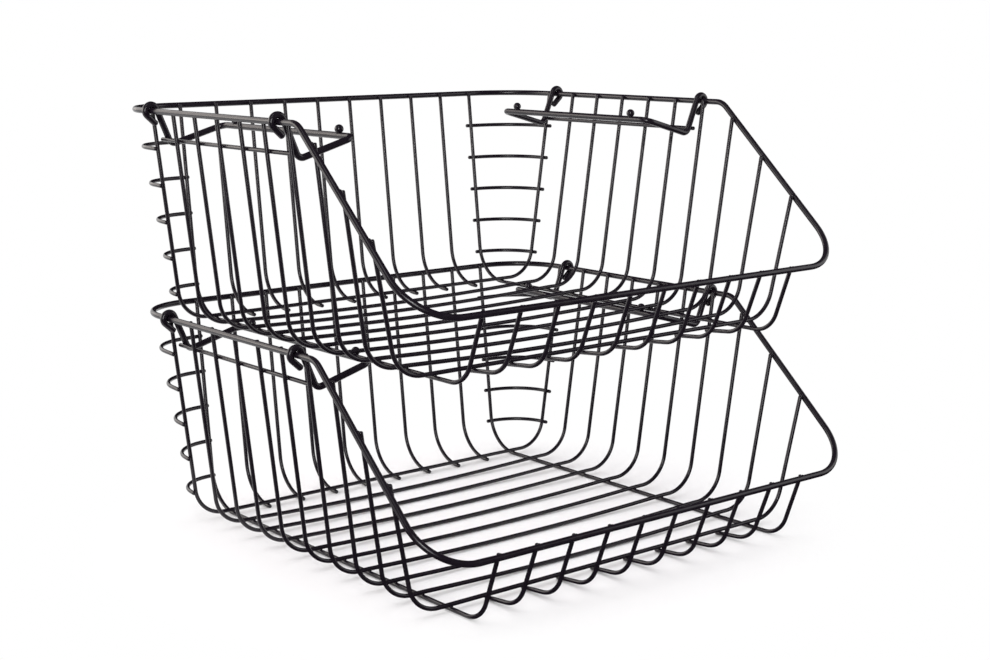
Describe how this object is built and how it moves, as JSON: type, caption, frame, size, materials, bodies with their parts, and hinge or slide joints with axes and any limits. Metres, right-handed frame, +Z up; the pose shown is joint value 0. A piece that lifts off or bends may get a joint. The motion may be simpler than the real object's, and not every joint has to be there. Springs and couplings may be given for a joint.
{
  "type": "wire stacking tray",
  "caption": "Open-front black wire tray with a stacked tray above it; swing-over bails on its side rims carry the tray above, or fold outside so that trays nest.",
  "frame": {"origin": "middle of the stack's footprint, on the surface that the lower tray stands on", "axes": "+X to the right as seen from the open front, +Y to the back (the low lips face -Y), +Z up"},
  "size_m": [0.4146, 0.41, 0.3289],
  "materials": {
    "powder_coat": "satin black powder coat on steel wire"
  },
  "bodies": {
    "lower_tray": {"lower_rim": "powder_coat", "lower_cross_wire_1": "powder_coat", "lower_cross_wire_2": "powder_coat", "lower_cross_wire_3": "powder_coat", "lower_cross_wire_4": "powder_coat", "lower_cross_wire_5": "powder_coat", "lower_cross_wire_6": "powder_coat", "lower_cross_wire_7": "powder_coat", "lower_cross_wire_8": "powder_coat", "lower_cross_wire_9": "powder_coat", "lower_front_comb": "powder_coat", "lower_rear_wire_1": "powder_coat", "lower_rear_wire_2": "powder_coat", "lower_rear_wire_3": "powder_coat", "lower_rear_wire_4": "powder_coat", "lower_rear_wire_5": "powder_coat", "lower_rear_wire_6": "powder_coat", "lower_rear_wire_7": "powder_coat", "lower_rear_wire_8": "powder_coat", "lower_left_runner": "powder_coat", "lower_right_runner": "powder_coat", "lower_left_stop_wire": "powder_coat", "lower_right_stop_wire": "powder_coat"},
    "lower_left_bail": {"lower_left_bail": "powder_coat", "lower_left_rear_stud": "powder_coat", "lower_left_front_stud": "powder_coat"},
    "lower_right_bail": {"lower_right_bail": "powder_coat", "lower_right_rear_stud": "powder_coat", "lower_right_front_stud": "powder_coat"},
    "upper_tray": {"upper_rim": "powder_coat", "upper_cross_wire_1": "powder_coat", "upper_cross_wire_2": "powder_coat", "upper_cross_wire_3": "powder_coat", "upper_cross_wire_4": "powder_coat", "upper_cross_wire_5": "powder_coat", "upper_cross_wire_6": "powder_coat", "upper_cross_wire_7": "powder_coat", "upper_cross_wire_8": "powder_coat", "upper_cross_wire_9": "powder_coat", "upper_front_comb": "powder_coat", "upper_rear_wire_1": "powder_coat", "upper_rear_wire_2": "powder_coat", "upper_rear_wire_3": "powder_coat", "upper_rear_wire_4": "powder_coat", "upper_rear_wire_5": "powder_coat", "upper_rear_wire_6": "powder_coat", "upper_rear_wire_7": "powder_coat", "upper_rear_wire_8": "powder_coat", "upper_left_runner": "powder_coat", "upper_right_runner": "powder_coat", "upper_left_stop_wire": "powder_coat", "upper_right_stop_wire": "powder_coat"},
    "upper_left_bail": {"upper_left_bail": "powder_coat", "upper_left_rear_stud": "powder_coat", "upper_left_front_stud": "powder_coat"},
    "upper_right_bail": {"upper_right_bail": "powder_coat", "upper_right_rear_stud": "powder_coat", "upper_right_front_stud": "powder_coat"}
  },
  "joints": [
    {"name": "upper_tray_lift", "type": "slide", "parent": "lower_tray", "child": "upper_tray", "axis": [0, 0, 1], "range_m": [0, 0.488]},
    {"name": "lower_left_bail_swing", "type": "hinge", "parent": "lower_tray", "child": "lower_left_bail", "pos_m": [-0.2, 0.03805, 0.1665], "axis": [0, -1, 0], "range_deg": [0, 280]},
    {"name": "lower_right_bail_swing", "type": "hinge", "parent": "lower_tray", "child": "lower_right_bail", "pos_m": [0.2, 0.03805, 0.1665], "axis": [0, 1, 0], "range_deg": [0, 280]},
    {"name": "upper_left_bail_swing", "type": "hinge", "parent": "upper_tray", "child": "upper_left_bail", "pos_m": [-0.2, 0.05305, 0.3216], "axis": [0, -1, 0], "range_deg": [0, 280]},
    {"name": "upper_right_bail_swing", "type": "hinge", "parent": "upper_tray", "child": "upper_right_bail", "pos_m": [0.2, 0.05305, 0.3216], "axis": [0, 1, 0], "range_deg": [0, 280]}
  ],
  "couplings": [
    {"joint": "lower_left_bail_swing", "follows": "upper_tray_lift", "rad_per_m": 10},
    {"joint": "lower_right_bail_swing", "follows": "upper_tray_lift", "rad_per_m": 10}
  ]
}
